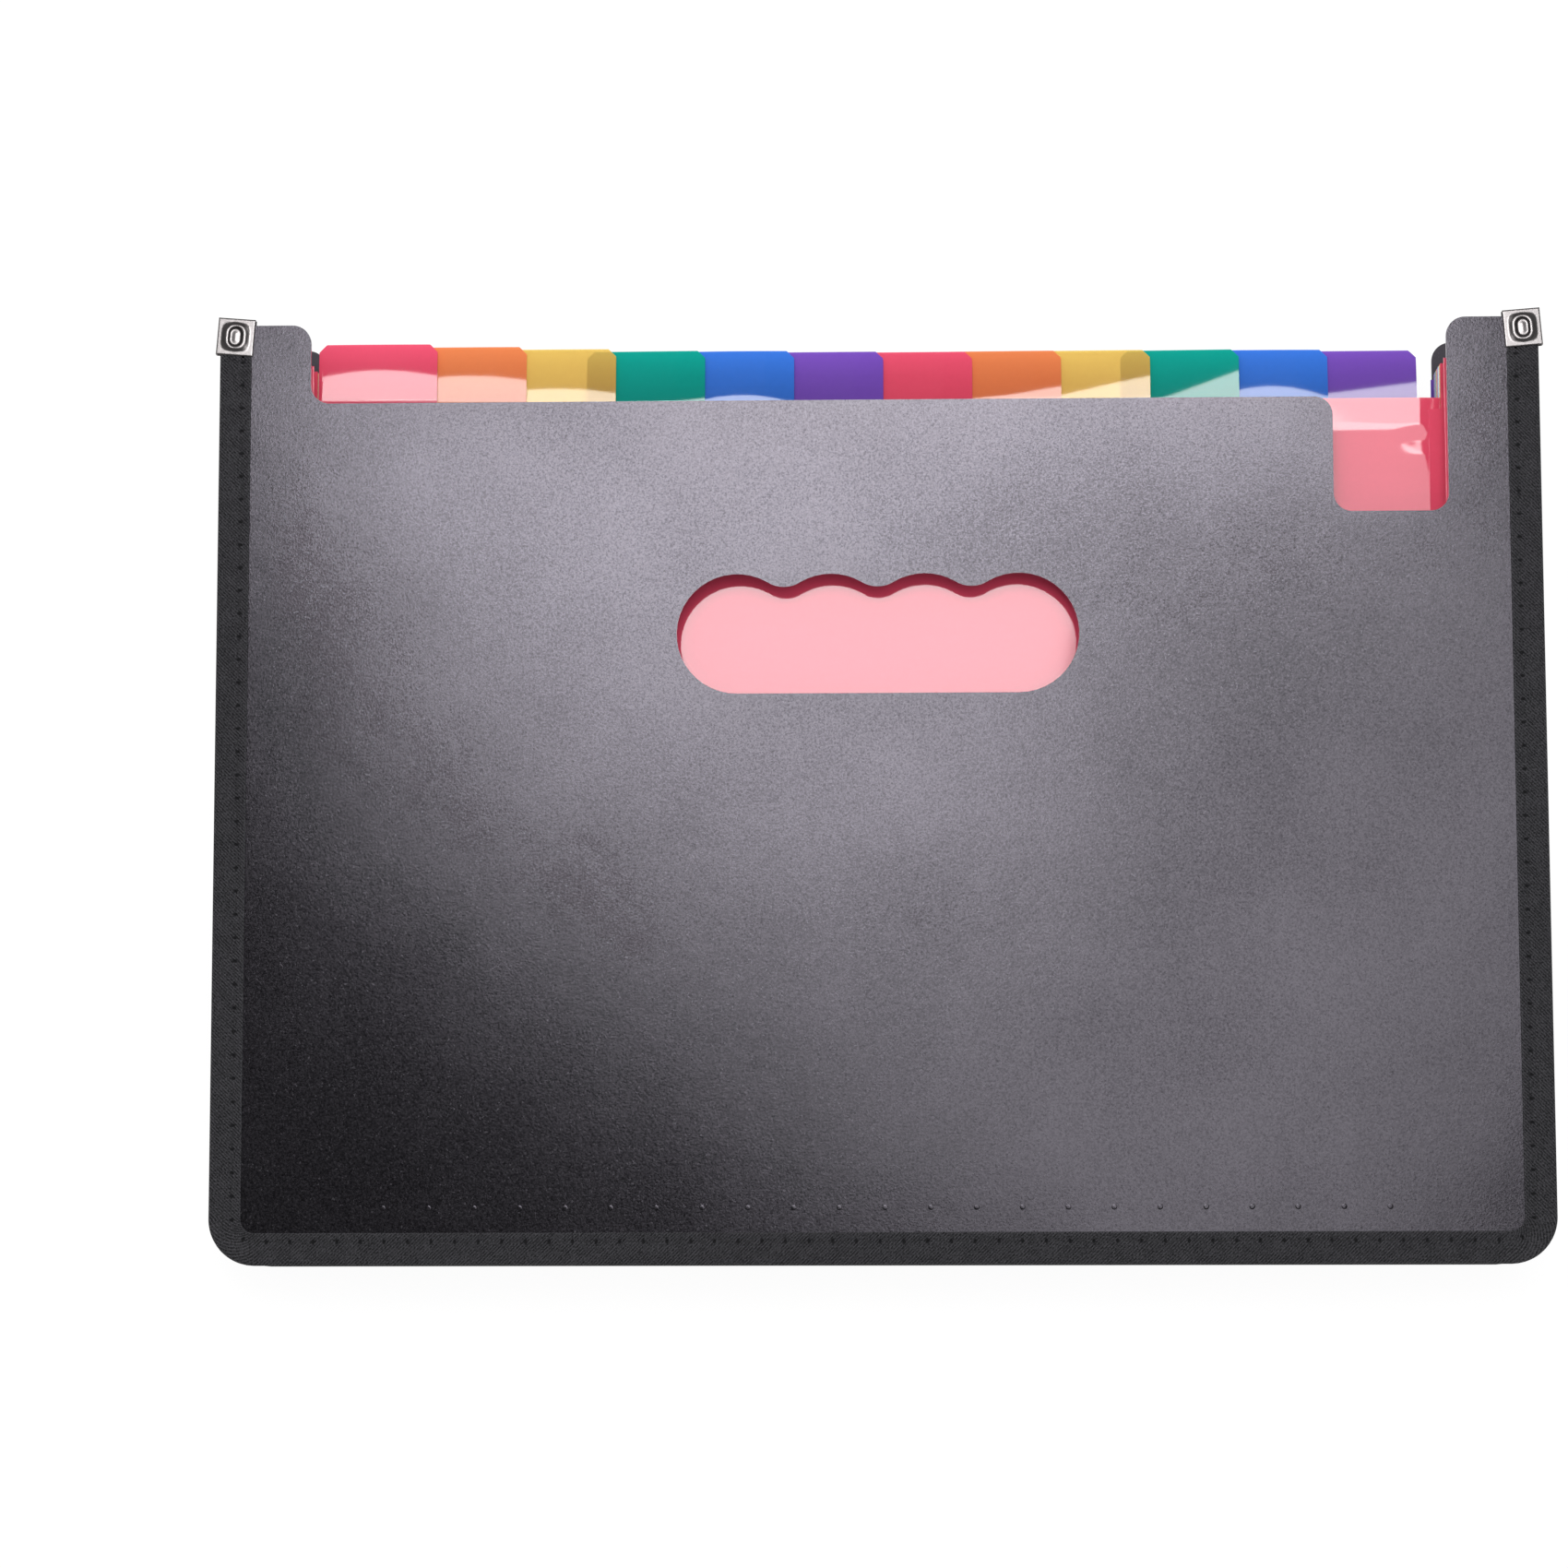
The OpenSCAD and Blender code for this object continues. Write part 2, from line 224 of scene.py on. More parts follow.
class Graph:
    """A shader or geometry tree. Every node of it comes from node()."""

    def __init__(self, tree):
        self.tree = tree

    def node(self, kind, settings=None, sockets=None, out=0):
        """Adds a node: its settings first, then its sockets' values or links. Gives the
        output that out names or numbers, or one for each name if out is a tuple."""
        made = self.tree.nodes.new(kind)
        for key, value in (settings or {}).items():
            setattr(made, key, value)
        for key, value in (sockets or {}).items():
            if isinstance(value, Value):
                self.tree.links.new(value.link, made.inputs[key])
            else:
                made.inputs[key].default_value = value
        if isinstance(out, tuple):
            return tuple(Value(self, made.outputs[name]) for name in out)
        return Value(self, made.outputs[out]) if made.outputs else made

    def noise(self, where, grain, detail=2.0, roughness=0.5, seed=0.0):
        """Noise whose features are about grain metres wide."""
        return self.node(
            "ShaderNodeTexNoise",
            {"noise_dimensions": "4D"},
            {
                "Vector": where,
                "W": seed,
                "Scale": 1 / grain,
                "Detail": detail,
                "Roughness": roughness,
            },
        )

    def colour_mix(self, share, first, second):
        """The first colour at share 0, the second one at 1."""
        return self.node(
            "ShaderNodeMix", {"data_type": "RGBA"}, {0: share, 6: first, 7: second}, 2
        )

    def bump(self, height, distance, under=None):
        """Relief: height times distance in metres, over another relief if one is given."""
        sockets = {"Height": height, "Distance": distance, "Strength": 1.0}
        if under is not None:
            sockets["Normal"] = under
        return self.node("ShaderNodeBump", None, sockets)


def rgb(red, green, blue):
    """A screen colour, 0 to 255, as the linear colour that a socket takes."""
    shares = [c / 255 for c in (red, green, blue)]
    linear = [
        s / 12.92 if s <= 0.04045 else ((s + 0.055) / 1.055) ** 2.4 for s in shares
    ]
    return (*linear, 1.0)


def blank(name, store=bpy.data.materials):
    """A material, or a world, with an empty shader tree, and the graph that fills it."""
    made = store.new(name)
    made.use_nodes = True
    made.node_tree.nodes.clear()
    return made, Graph(made.node_tree)


def finish(name, paint, **plain):
    """A material: paint(graph) gives the varying inputs of its surface, plain the rest."""
    material, graph = blank(name)
    surface = graph.node("ShaderNodeBsdfPrincipled", None, {**plain, **paint(graph)})
    graph.node("ShaderNodeOutputMaterial", None, {"Surface": surface})
    return material


def place_on(graph):
    """Where on the folder a finish is, in metres in the frame."""
    return graph.node("ShaderNodeTexCoord", None, None, "Object")


# ----------------------------------------------------------
# Materials
# ----------------------------------------------------------
def paint_sand(graph):
    """Black sheet with a pressed sand grain: duller pits, faint clouds, and a few painted
    glints, pale spots in its colour.
    The face that a cover turns to the film is plain and dull."""
    here = place_on(graph)
    z = graph.node("ShaderNodeSeparateXYZ", None, {"Vector": here}, "Z")
    low, high = COVER_IN * MM, (FOLDER_T - COVER_IN) * MM
    far, near = 0.15 * MM, 0.05 * MM
    inner = z.step(low - far, low - near) * (1 - z.step(high + near, high + far))
    grain = graph.noise(here, 0.00055, 2.0, 0.65)
    fine = graph.noise(here, 0.00026, 1.0, 0.5, 3.0)
    cloud = graph.noise(here, 0.03, 3.0, 0.5, 5.0)
    # Painted glints: sparse pale spots in the base colour that stand in for sparkles of
    # reflected light, made a little rougher too
    painted_glint = graph.noise(here, 0.0006, 1.0, 0.5, 9.0).step(0.64, 0.76)
    tone = (grain - 0.5) * 0.6 + (cloud - 0.5) * 0.15 + painted_glint * 0.7 + 0.12
    colour = graph.colour_mix(
        tone.most(0.0).least(1.0), (0.0035, 0.0033, 0.0042, 1), (0.045, 0.043, 0.048, 1)
    )
    pits = (0.5 - grain) * 1.3 + (0.5 - fine) * 0.8 + (0.5 - cloud) * 0.35 + 0.22
    sand = graph.bump(grain * 0.7 + fine * 0.3, 0.000022)
    return {
        "Base Color": colour,
        "Metallic": pits.most(0.0).least(0.7) * (1 - inner),
        "Roughness": 0.16
        + (fine - 0.5) * 0.08
        + (grain - 0.5) * 0.12
        + painted_glint * 0.08
        + inner * 0.35,
        "Normal": graph.bump(cloud, 0.0001, sand),
    }


def paint_ribbon(graph):
    """Black twill: diagonal ribs over fine threads, fuzzy selvedge, and painted shade in
    the needle holes.
    """

    def stored(name):
        return graph.node("ShaderNodeAttribute", {"attribute_name": name}, None, "Fac")

    along, across, lip, hole = map(stored, ("along", "across", "lip", "hole"))
    here = place_on(graph)
    fuzz = graph.noise(here, 0.00045, 2.0, 0.7)
    patch = graph.noise(here, 0.004, 3.0, 0.6, 2.0)
    rib = ((along + across) * (math.tau / (RIB * MM)) + fuzz * 1.5).sine() * 0.5 + 0.5
    pick = ((along - across) * (math.tau / (PICK * MM))).sine() * 0.5 + 0.5
    weave = rib * 0.7 + pick * rib * 0.3
    worn = lip.step(0.35, 1.0) * (fuzz - 0.3) * 1.6
    tone = weave * 0.6 + (patch - 0.5) * 0.6 + (fuzz - 0.5) * 3.0 + worn * 0.6 + 0.17
    # Painted shade: the colour goes to its darkest in the needle holes
    tone = tone.most(0.0).least(1.0) * (1 - hole.step(0.25, 0.7))
    colour = graph.colour_mix(tone, (0.0075, 0.0075, 0.009, 1), (0.068, 0.066, 0.074, 1))
    return {
        "Base Color": colour,
        "Roughness": 0.8 - weave * 0.15,
        "Normal": graph.bump(weave + fuzz * 0.8, 0.0002),
    }


def paint_thread(graph):
    """Black twisted sewing thread."""
    here = place_on(graph)
    twist = graph.noise(here, 0.0004, 2.0, 0.6)
    colour = graph.colour_mix(twist, (0.006, 0.006, 0.007, 1), (0.03, 0.03, 0.034, 1))
    return {
        "Base Color": colour,
        "Roughness": 0.65 + twist * 0.2,
        "Normal": graph.bump(twist, 0.00008),
    }


def paint_nickel(graph):
    """Bright nickel with faint smudges, darkened by painted shade in the steep walls of the
    stamping.
    """
    here = place_on(graph)
    painted_shade_mask = graph.node("ShaderNodeAttribute", {"attribute_name": "painted_shade_mask"}, None, "Fac")
    smudge = graph.noise(here, 0.0016, 3.0, 0.6)
    fine = graph.noise(here, 0.0003, 2.0, 0.6, 4.0)
    # Painted shade from the stored mask, mottled by smudges, sets how dark and how rough
    # the nickel is
    stain_and_shade = (painted_shade_mask + (smudge - 0.5) * 0.3 * painted_shade_mask.step(0.02, 0.3)).most(0.0).least(1.0)
    colour = graph.colour_mix(stain_and_shade, (0.34, 0.32, 0.32, 1), (0.055, 0.048, 0.05, 1))
    return {
        "Base Color": colour,
        "Roughness": 0.28 + smudge * 0.14 + stain_and_shade * 0.12,
        "Metallic": 1.0,
        "Normal": graph.bump(smudge + fine * 0.1, 0.00002),
    }


def sheet_tint(seen, clearness, mirrored):
    """What a film needs so that a tab, two films thick over white, shows a colour: the
    colour it scatters and the colour that each of its two faces lets through."""
    brightest, palest, least_passed = 0.97, 0.98, 0.3
    most = (1 - clearness) * (brightest - mirrored)
    scattered, passed = [], []
    for share in seen[:3]:
        needed = (math.sqrt(most**2 + 4 * max(share - most, 0)) - most) / 2
        through = min(max(needed, math.sqrt(least_passed * share)), clearness)
        own = (share - through**2) / (most * (1 + through))
        scattered.append(min(max(own, 0.0), palest))
        passed.append(math.sqrt(through / clearness))
    return (*scattered, 1.0), (*passed, 1.0)


def film_finish(name, seen, clearness):
    """Glossy tinted film with faint streaks from its rolling, and painted light up its
    tabs: darker low on a tab, brighter towards its top.
    """
    mirrored = FILM_GLOSS / (1 - clearness)
    scattered, passed = sheet_tint(seen, clearness, mirrored)
    material, graph = blank(name)
    here = place_on(graph)
    streak = graph.node("ShaderNodeMapping", None, {"Vector": here, "Scale": (0.15, 1, 1)})
    flow = graph.noise(streak, 0.006, 3.0, 0.6)
    dust = graph.noise(here, 0.0014, 2.0, 0.6, 7.0)
    height = graph.node("ShaderNodeSeparateXYZ", None, {"Vector": here}, "Y")
    rise = ((height - (FOOT + SHEET_TOP * MM)) / ((TAB_TOP - SHEET_TOP) * MM)).most(0.0)
    # Painted light: a tab's colour is darker low down and brighter towards its top,
    # standing in for the floor's light shining through the film
    glow = rise * rise * 0.6 - rise.step(0.0, 0.1) * 0.2
    deep = (*(c * 0.55 for c in scattered[:3]), 1.0)
    bright = (*(min(c * 1.45, 1.0) for c in scattered[:3]), 1.0)
    ripple = graph.noise(here, 0.03, 1.0, 0.4, 1.0)
    body = graph.node(
        "ShaderNodeBsdfPrincipled",
        None,
        {
            "Base Color": graph.colour_mix(
                (flow * 0.2 + dust * 0.1 + glow + 0.42).most(0.0).least(1.0), deep, bright
            ),
            "Roughness": 0.03 + flow * 0.02 + dust * 0.01,
            "IOR": (1 + mirrored**0.5) / (1 - mirrored**0.5),
            "Normal": graph.bump(ripple + dust * 0.0006, 0.00006),
        },
    )
    clear = graph.node("ShaderNodeBsdfTransparent", None, {"Color": passed})
    # A face that light leaves the film through is only clear
    leaving = graph.node("ShaderNodeNewGeometry", None, None, "Backfacing")
    share = (clearness + (flow - 0.5) * 0.03).most(leaving)
    mixed = graph.node("ShaderNodeMixShader", None, {0: share, 1: body, 2: clear})
    graph.node("ShaderNodeOutputMaterial", None, {"Surface": mixed})
    return material


# Screen colour of a tab over white, and how clear its film is, from 0 to 1
SHEET_COLOURS = {
    "red": ((250, 74, 100), 0.05),
    "orange": ((253, 118, 72), 0.05),
    "yellow": ((252, 182, 92), 0.45),
    "green": ((9, 144, 131), 0.05),
    "blue": ((53, 108, 200), 0.05),
    "purple": ((110, 72, 170), 0.05),
}

sand = finish(
    "black_sand_sheet",
    paint_sand,
    **{"Specular IOR Level": 0.73, "Specular Tint": (0.93, 0.87, 1.0, 1)},
)
twill = finish("black_twill_ribbon", paint_ribbon, **{"Specular IOR Level": 0.3})
thread = finish("black_thread", paint_thread, **{"Specular IOR Level": 0.4})
nickel = finish("stamped_nickel", paint_nickel)
film = {
    hue: film_finish(f"{hue}_film", rgb(*colour), clearness)
    for hue, (colour, clearness) in SHEET_COLOURS.items()
}


# ----------------------------------------------------------
# Mesh helpers
# ----------------------------------------------------------
def piece(name, points, faces, material):
    """A mesh object from points in metres in the frame."""
    mesh = bpy.data.meshes.new(name)
    mesh.from_pydata([tuple(p) for p in points], [], faces)
    mesh.validate()
    mesh.materials.append(material)
    mesh.polygons.foreach_set("use_smooth", [True] * len(mesh.polygons))
    mesh.update()
    made = bpy.data.objects.new(name, mesh)
    bpy.context.scene.collection.objects.link(made)
    return made


def joined(*parts):
    """Several (points, faces) as one."""
    points, faces = [], []
    for some_points, some_faces in parts:
        first = len(points)
        points += some_points
        faces += [[i + first for i in f] for f in some_faces]
    return points, faces


def shell(upper, lower, quads):
    """A closed thin body from matching upper and lower points. Quads wind as seen from
    above, and every edge that only one of them has gets a wall."""
    n = len(upper)
    faces = [list(q) for q in quads] + [[i + n for i in reversed(q)] for q in quads]
    edges = {(q[i], q[(i + 1) % len(q)]) for q in quads for i in range(len(q))}
    for a, b in sorted(edges):
        if (b, a) not in edges:
            faces.append([b, a, a + n, b + n])
    return list(upper) + list(lower), faces


def grid(columns, rows, wound=True):
    """Quads of a grid of points listed row by row: anticlockwise, or clockwise if not
    wound."""
    quads = []
    for j in range(rows - 1):
        for i in range(columns - 1):
            a = j * columns + i
            quad = [a, a + 1, a + 1 + columns, a + columns]
            quads.append(quad if wound else quad[::-1])
    return quads


def crisp(made, angle):
    """Keeps edges sharper than an angle in degrees hard where the rest is smooth."""
    mesh = made.data
    mesh.update()
    beside = {}
    for polygon in mesh.polygons:
        for key in polygon.edge_keys:
            beside.setdefault(key, []).append(polygon.normal.copy())
    hard = [False] * len(mesh.edges)
    for edge in mesh.edges:
        normals = beside.get(edge.key, [])
        if len(normals) == 2:
            hard[edge.index] = normals[0].angle(normals[1], 0) > math.radians(angle)
    attribute = mesh.attributes.get("sharp_edge") or mesh.attributes.new(
        "sharp_edge", "BOOLEAN", "EDGE"
    )
    attribute.data.foreach_set("value", hard)
    return made


def grown(name, source, tree, inputs):
    """The plain mesh that a geometry tree grows from a mesh object, in its own object."""
    modifier = source.modifiers.new(name, "NODES")
    modifier.node_group = tree
    for item in tree.interface.items_tree:
        if item.item_type == "SOCKET" and item.in_out == "INPUT" and item.name in inputs:
            modifier[item.identifier] = inputs[item.name]
    bpy.context.view_layer.update()
    evaluated = source.evaluated_get(bpy.context.evaluated_depsgraph_get())
    mesh = bpy.data.meshes.new_from_object(evaluated)
    mesh.name = name
    source.modifiers.remove(modifier)
    bpy.data.objects.remove(source)
    return mesh


def line_object(name, points, closed=False, **numbers):
    """Edges from point to point, with lists of numbers kept as attributes."""
    mesh = bpy.data.meshes.new(name)
    edges = [(i, i + 1) for i in range(len(points) - 1)]
    if closed:
        edges.append((len(points) - 1, 0))
    mesh.from_pydata([tuple(p) for p in points], edges, [])
    for key, values in numbers.items():
        mesh.attributes.new(key, "FLOAT", "POINT").data.foreach_set("value", values)
    made = bpy.data.objects.new(name, mesh)
    bpy.context.scene.collection.objects.link(made)
    return made


def geometry_tree(name, **sockets):
    """A geometry tree with named inputs, the graph that fills it and its inputs."""
    tree = bpy.data.node_groups.new(name, "GeometryNodeTree")
    tree.interface.new_socket("Geometry", in_out="INPUT", socket_type="NodeSocketGeometry")
    tree.interface.new_socket("Geometry", in_out="OUTPUT", socket_type="NodeSocketGeometry")
    labels = {key: key.replace("_", " ").capitalize() for key in sockets}
    for key, kind in sockets.items():
        tree.interface.new_socket(
            labels[key], in_out="INPUT", socket_type=f"NodeSocket{kind}"
        )
    graph = Graph(tree)
    given = graph.node("NodeGroupInput", None, None, ("Geometry", *labels.values()))
    return tree, graph, dict(zip(("geometry", *labels), given))


def end_tree(graph, geometry, material):
    """What every geometry tree ends in: real pieces with their material."""
    real = graph.node("GeometryNodeRealizeInstances", None, {"Geometry": geometry})
    dressed = graph.node(
        "GeometryNodeSetMaterial", None, {"Geometry": real, "Material": material}
    )
    graph.node("NodeGroupOutput", None, {"Geometry": dressed})


def rail(graph, line):
    """The curve along a line object's edges, its normals square to the cover."""
    curve = graph.node("GeometryNodeMeshToCurve", None, {"Mesh": line})
    return graph.node("GeometryNodeSetCurveNormal", {"mode": "Z_UP"}, {"Curve": curve})


def bead(graph, segments, rings, width, depth, height):
    """A rounded body of the given sizes."""
    ball = graph.node(
        "GeometryNodeMeshUVSphere",
        None,
        {"Segments": segments, "Rings": rings, "Radius": 0.5},
        "Mesh",
    )
    size = graph.node("ShaderNodeCombineXYZ", None, {"X": width, "Y": depth, "Z": height})
    return graph.node("GeometryNodeTransform", None, {"Geometry": ball, "Scale": size})


def copied(mesh, name, matrix, mirrored=False):
    """The mesh again, carried by a matrix, in an object of its own."""
    again = mesh.copy()
    again.name = name
    if mirrored:
        again.transform(Matrix.Diagonal((-1, 1, 1, 1)))
        again.flip_normals()
    again.transform(matrix)
    made = bpy.data.objects.new(name, again)
    bpy.context.scene.collection.objects.link(made)
    return made


def hand_over(made, body, slot, *nodes):
    """Puts the piece on the body that it rides on and hides the CAD nodes that it stands
    for. The slot is not used.
    """
    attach(made, body)
    if nodes:
        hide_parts(*nodes)


# ----------------------------------------------------------
# Covers and end leaves: their CAD shape is right, so they only get their finish
# ----------------------------------------------------------
def dress(node, material):
    """Gives a CAD node its material."""
    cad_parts[node].data.materials.clear()
    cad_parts[node].data.materials.append(material)


for side in ("front", "back"):
    dress(f"{side}_cover", sand)
dress("front_end_leaf", film["red"])
dress("back_end_leaf", film["purple"])


# ----------------------------------------------------------
# Edging: a woven ribbon folded round each cover, sewn through and crimped at its ends
# ----------------------------------------------------------
SEAM_R = CORNER_R - SEAM_IN
SIDE_RUN_L = RIBBON_TOP - CORNER_R
ARC_L = math.pi / 2 * SEAM_R
FOOT_L = 2 * (HALF_W - CORNER_R)
PATH_L = 2 * SIDE_RUN_L + 2 * ARC_L + FOOT_L
SEAM_FROM = RIBBON_TOP - SEAM_TOP
PITCH = (PATH_L - 2 * SEAM_FROM) / STITCHES


def seam_point(along):
    """Point of the seam line, (x, height), after a length from the left ribbon end."""
    centre = HALF_W - CORNER_R
    if along < SIDE_RUN_L:
        return (-HALF_W + SEAM_IN, RIBBON_TOP - along)
    along -= SIDE_RUN_L
    if along < ARC_L:
        angle = math.pi + along / SEAM_R
        return (
            -centre + SEAM_R * math.cos(angle),
            CORNER_R + SEAM_R * math.sin(angle),
        )
    along -= ARC_L
    if along < FOOT_L:
        return (-centre + along, SEAM_IN)
    along -= FOOT_L
    if along < ARC_L:
        angle = 1.5 * math.pi + along / SEAM_R
        return (centre + SEAM_R * math.cos(angle), CORNER_R + SEAM_R * math.sin(angle))
    return (HALF_W - SEAM_IN, CORNER_R + along - ARC_L)


def ribbon_stations():
    """Lengths along the seam, close together at the needle holes and the crimps."""
    near = [-1.9, -1.1, -0.65, -0.3, 0, 0.3, 0.65, 1.1, 1.9]
    lengths = {0.0, 4.0, 8.0, 8.8, 9.3, 9.8}
    lengths |= {PATH_L - a for a in lengths}
    for hole in range(STITCHES + 1):
        lengths |= {round(SEAM_FROM + hole * PITCH + d, 3) for d in near}
    for start in (SIDE_RUN_L, SIDE_RUN_L + ARC_L + FOOT_L):
        lengths |= {round(start + ARC_L * i / 10, 3) for i in range(11)}
    ordered = sorted(a for a in lengths if 0 <= a <= PATH_L)
    closest = 0.16
    kept = [ordered[0]]
    for a in ordered[1:]:
        if a - kept[-1] > closest:
            kept.append(a)
    return kept


def ribbon_profile():
    """Section of the folded ribbon: (distance in from its outer side, z) round the outer
    face from the upper lip to the lower one, then back inside."""
    steps = [RIBBON_W, 7.97, 7.8, 7.4, 6.9, 6.5, 6.2, 5.95, 5.8, 5.65, 5.4, 5.1, 4.7]
    steps += [4, 3, 2, 1.5]
    fold = PACK_T / 2
    lip_round = {0: 0.2, 1: 0.1, 2: 0.04, 3: 0.02}
    top = []
    for index, s in enumerate(steps):
        dip = SEAM_GROOVE * math.exp(-(((s - SEAM_IN) / 0.6) ** 2))
        top.append((s, -0.01 - dip - lip_round.get(index, 0.0)))
    bend = [
        (fold - fold * math.sin(a), -fold + fold * math.cos(a))
        for a in [math.pi * i / 12 for i in range(1, 12)]
    ]
    low = [(s, -PACK_T - z) for s, z in reversed(top)]
    inside = [RIBBON_W, 4, 0.55]
    inner = [(s, -PACK_T + RIBBON_T) for s in inside]
    inner += [(s, -RIBBON_T) for s in reversed(inside)]
    return top + bend + low, inner


def edging_mesh():
    """The ribbon's section swept along the seam, with its needle holes and crimps. Press
    and crimp hold what moves by 1 mm, so their depths are shares of it."""
    outer, inner = ribbon_profile()
    section = outer + inner
    mid = -PACK_T / 2
    across, length = [], 0.0
    for index, point in enumerate(section):
        if index:
            last = section[index - 1]
            length += math.hypot(point[0] - last[0], point[1] - last[1])
        across.append(length * MM)
    press, crimp, lip = [], [], []
    for index, (s, z) in enumerate(section):
        outside = index < len(outer)
        sign = 1 if z > mid else -1
        press.append(
            sign * math.exp(-(((s - SEAM_IN) / 0.75) ** 2)) * MM if outside else 0.0
        )
        crimp.append((z - mid) / -mid * MM if outside else 0.0)
        lip.append(smooth((s - 7.2) / 0.8) if outside else 0.0)
    profile = line_object(
        "ribbon_section",
        [((SEAM_IN - s) * MM, -z * MM, 0) for s, z in section],
        True,
        across=across,
        press=press,
        crimp=crimp,
        lip=lip,
    )
    lengths = ribbon_stations()
    path = line_object(
        "ribbon_path",
        [(x * MM, h * MM, 0) for x, h in map(seam_point, lengths)],
        along=[a * MM for a in lengths],
    )
    tree, graph, given = geometry_tree(
        "folded_ribbon",
        section="Object",
        stitch_pitch="Float",
        seam_start="Float",
        hole_depth="Float",
        hole_radius="Float",
        crimp_depth="Float",
        crimp_start="Float",
        crimp_full="Float",
        path_length="Float",
        material="Material",
    )
    drawn = graph.node(
        "GeometryNodeObjectInfo",
        {"transform_space": "ORIGINAL"},
        {"Object": given["section"]},
        "Geometry",
    )
    outline = graph.node("GeometryNodeMeshToCurve", None, {"Mesh": drawn})
    swept = graph.node(
        "GeometryNodeCurveToMesh",
        None,
        {
            "Curve": rail(graph, given["geometry"]),
            "Profile Curve": outline,
            "Fill Caps": True,
        },
    )

    def stored(name):
        return graph.node(
            "GeometryNodeInputNamedAttribute",
            {"data_type": "FLOAT"},
            {"Name": name},
            "Attribute",
        )

    along, pressing = stored("along"), stored("press")
    pitch, start = given["stitch_pitch"], given["seam_start"]
    from_hole = abs((along - start + pitch * 0.5) % pitch - pitch * 0.5)
    from_end = along.least(given["path_length"] - along)
    sewn = from_end.step(start - 0.7 * MM, start - 0.6 * MM)
    hole = (1 - from_hole.step(0.0, given["hole_radius"])) * sewn
    pinch = 1 - from_end.step(given["crimp_full"], given["crimp_start"])
    drop = pressing * hole * given["hole_depth"]
    drop = drop + stored("crimp") * pinch * given["crimp_depth"]
    offset = graph.node("ShaderNodeCombineXYZ", None, {"Z": drop * -1})
    pressed = graph.node(
        "GeometryNodeSetPosition", None, {"Geometry": swept, "Offset": offset}
    )
    marked = graph.node(
        "GeometryNodeStoreNamedAttribute",
        {"data_type": "FLOAT", "domain": "POINT"},
        {"Geometry": pressed, "Name": "hole", "Value": abs(pressing) * hole / MM},
    )
    end_tree(graph, marked, given["material"])
    mesh = grown(
        "edging",
        path,
        tree,
        {
            "Section": profile,
            "Stitch pitch": PITCH * MM,
            "Seam start": SEAM_FROM * MM,
            "Hole depth": HOLE_DEPTH,
            "Hole radius": HOLE_R * MM,
            "Crimp depth": CRIMP,
            "Crimp start": (RIBBON_TOP - CRIMP_FROM) * MM,
            "Crimp full": (RIBBON_TOP - CRIMP_FULL) * MM,
            "Path length": PATH_L * MM,
            "Material": twill,
        },
    )
    bpy.data.objects.remove(profile)
    return mesh


def stitch_mesh():
    """Every stitch of one seam, evenly along the seam line."""
    count = 8 * STITCHES
    run = PATH_L - 2 * SEAM_FROM - PITCH
    lengths = [SEAM_FROM + PITCH / 2 + run * i / count for i in range(count + 1)]
    path = line_object(
        "seam_path", [(x * MM, h * MM, 0) for x, h in map(seam_point, lengths)]
    )
    tree, graph, given = geometry_tree(
        "seam_stitches",
        stitches="Int",
        stitch_length="Float",
        thread_width="Float",
        thread_height="Float",
        sunk_by="Float",
        material="Material",
    )
    points, turn = graph.node(
        "GeometryNodeCurveToPoints",
        {"mode": "COUNT"},
        {"Curve": rail(graph, given["geometry"]), "Count": given["stitches"]},
        ("Points", "Rotation"),
    )
    width, height = given["thread_width"], given["thread_height"]
    stitch = bead(graph, 8, 6, width, height, given["stitch_length"])
    laid = graph.node(
        "GeometryNodeInstanceOnPoints",
        None,
        {"Points": points, "Instance": stitch, "Rotation": turn},
        "Instances",
    )
    sunk = graph.node("ShaderNodeCombineXYZ", None, {"Z": given["sunk_by"] * -1})
    laid = graph.node(
        "GeometryNodeTranslateInstances",
        None,
        {"Instances": laid, "Translation": sunk, "Local Space": False},
    )
    end_tree(graph, laid, given["material"])
    return grown(
        "stitches",
        path,
        tree,
        {
            "Stitches": STITCHES,
            "Stitch length": STITCH_L * MM,
            "Thread width": STITCH_W * MM,
            "Thread height": STITCH_T * MM,
            "Sunk by": (SEAM_GROOVE + STITCH_SINK) * MM,
            "Material": thread,
        },
    )


def weld_dot_mesh():
    """The row of faint spots where the end leaf is welded under the cover."""
    tree, graph, given = geometry_tree(
        "weld_dots",
        dots="Int",
        pitch="Float",
        dot_width="Float",
        dot_height="Float",
        material="Material",
    )
    dot = bead(graph, 12, 8, given["dot_width"], given["dot_width"], given["dot_height"])
    step = graph.node("ShaderNodeCombineXYZ", None, {"X": given["pitch"]})
    row = graph.node(
        "GeometryNodeMeshLine",
        {"mode": "OFFSET"},
        {"Count": given["dots"], "Offset": step},
    )
    shift = graph.node(
        "ShaderNodeCombineXYZ", None, {"X": (given["dots"] - 1) * given["pitch"] * -0.5}
    )
    row = graph.node("GeometryNodeTransform", None, {"Geometry": row, "Translation": shift})
    laid = graph.node(
        "GeometryNodeInstanceOnPoints", None, {"Points": row, "Instance": dot}, "Instances"
    )
    end_tree(graph, laid, given["material"])
    return grown(
        "weld_dots",
        line_object("dot_row", [(0, 0, 0)]),
        tree,
        {
            "Dots": DOTS,
            "Pitch": DOT_PITCH * MM,
            "Dot width": DOT_W * MM,
            "Dot height": DOT_T * MM,
            "Material": sand,
        },
    )


